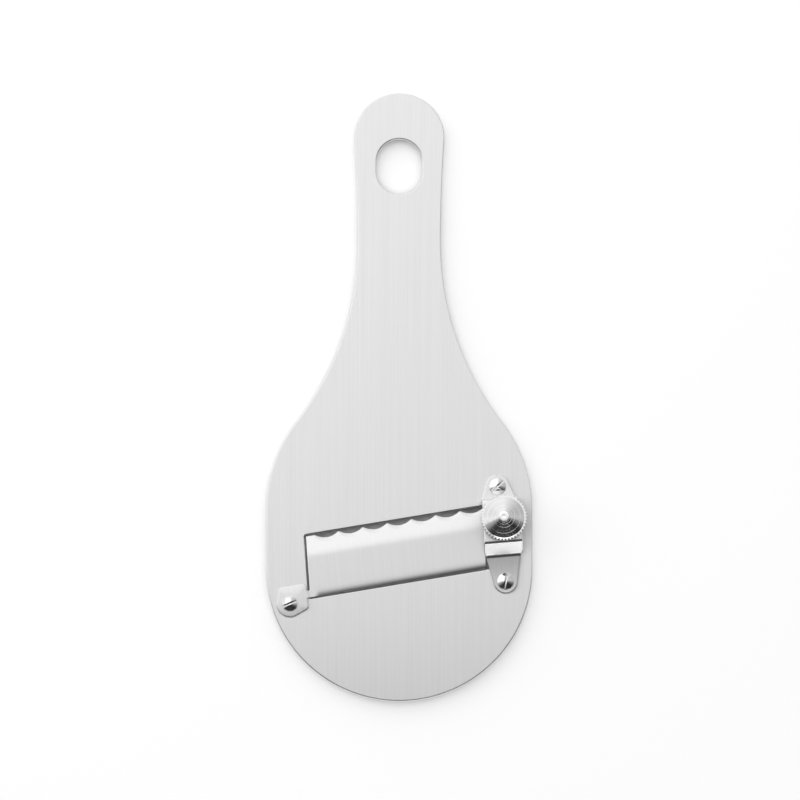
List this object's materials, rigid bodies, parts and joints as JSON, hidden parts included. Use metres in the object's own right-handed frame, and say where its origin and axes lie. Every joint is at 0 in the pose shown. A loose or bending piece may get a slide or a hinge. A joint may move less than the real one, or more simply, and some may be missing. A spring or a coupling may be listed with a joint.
{
  "type": "truffle slicer",
  "caption": "Flat steel truffle slicer with a waisted handle, a hanging hole and a slanting scalloped blade that a knurled knob on a bridge tilts up to set the slice thickness.",
  "frame": {"origin": "middle of the plate in plan, on the plane of the screw tips under the plate", "axes": "+Y along the handle to its round end, +X to the side of the bridge and knob, +Z square to the plate towards the knob"},
  "size_m": [0.08, 0.184, 0.0186],
  "materials": {
    "plate_steel": "fine brushing along the handle",
    "blade_steel": "satin sheet with a ground, polished edge",
    "bridge_steel": "satin, bent strap",
    "turned_steel": "turned bright with fine rings",
    "fastener_steel": "bright",
    "spring_steel": "drawn wire"
  },
  "bodies": {
    "slicer_body": {"plate": "plate_steel", "blade_lug": "blade_steel", "bridge": "bridge_steel", "thrust_washer": "fastener_steel", "return_spring": "spring_steel", "lug_screw": "fastener_steel", "lug_nut": "fastener_steel", "front_bridge_screw": "fastener_steel", "front_bridge_nut": "fastener_steel", "rear_bridge_screw": "fastener_steel", "rear_bridge_nut": "fastener_steel"},
    "adjuster": {"knob": "turned_steel", "adjusting_screw": "turned_steel"},
    "climbing_nut": {"lift_nut": "fastener_steel"},
    "tilting_blade": {"blade": "blade_steel"}
  },
  "joints": [
    {"name": "knob_turn", "type": "hinge", "parent": "slicer_body", "child": "adjuster", "pos_m": [0.0312, -0.0376, 0.0106], "axis": [0, 0, -1], "range_deg": [0, 1040]},
    {"name": "nut_climb", "type": "slide", "parent": "slicer_body", "child": "climbing_nut", "axis": [0, 0, 1], "range_m": [0, 0.0016]},
    {"name": "blade_tilt", "type": "hinge", "parent": "slicer_body", "child": "tilting_blade", "pos_m": [-0.02733, -0.0595, 0.0045], "axis": [0.9866, 0.1633, 0], "range_deg": [0, 8.3], "deforming": ["return_spring"]}
  ],
  "couplings": [
    {"joint": "nut_climb", "follows": "knob_turn", "m_per_rad": 0.000079577},
    {"joint": "blade_tilt", "follows": "knob_turn", "ratio": 0.0079182}
  ]
}
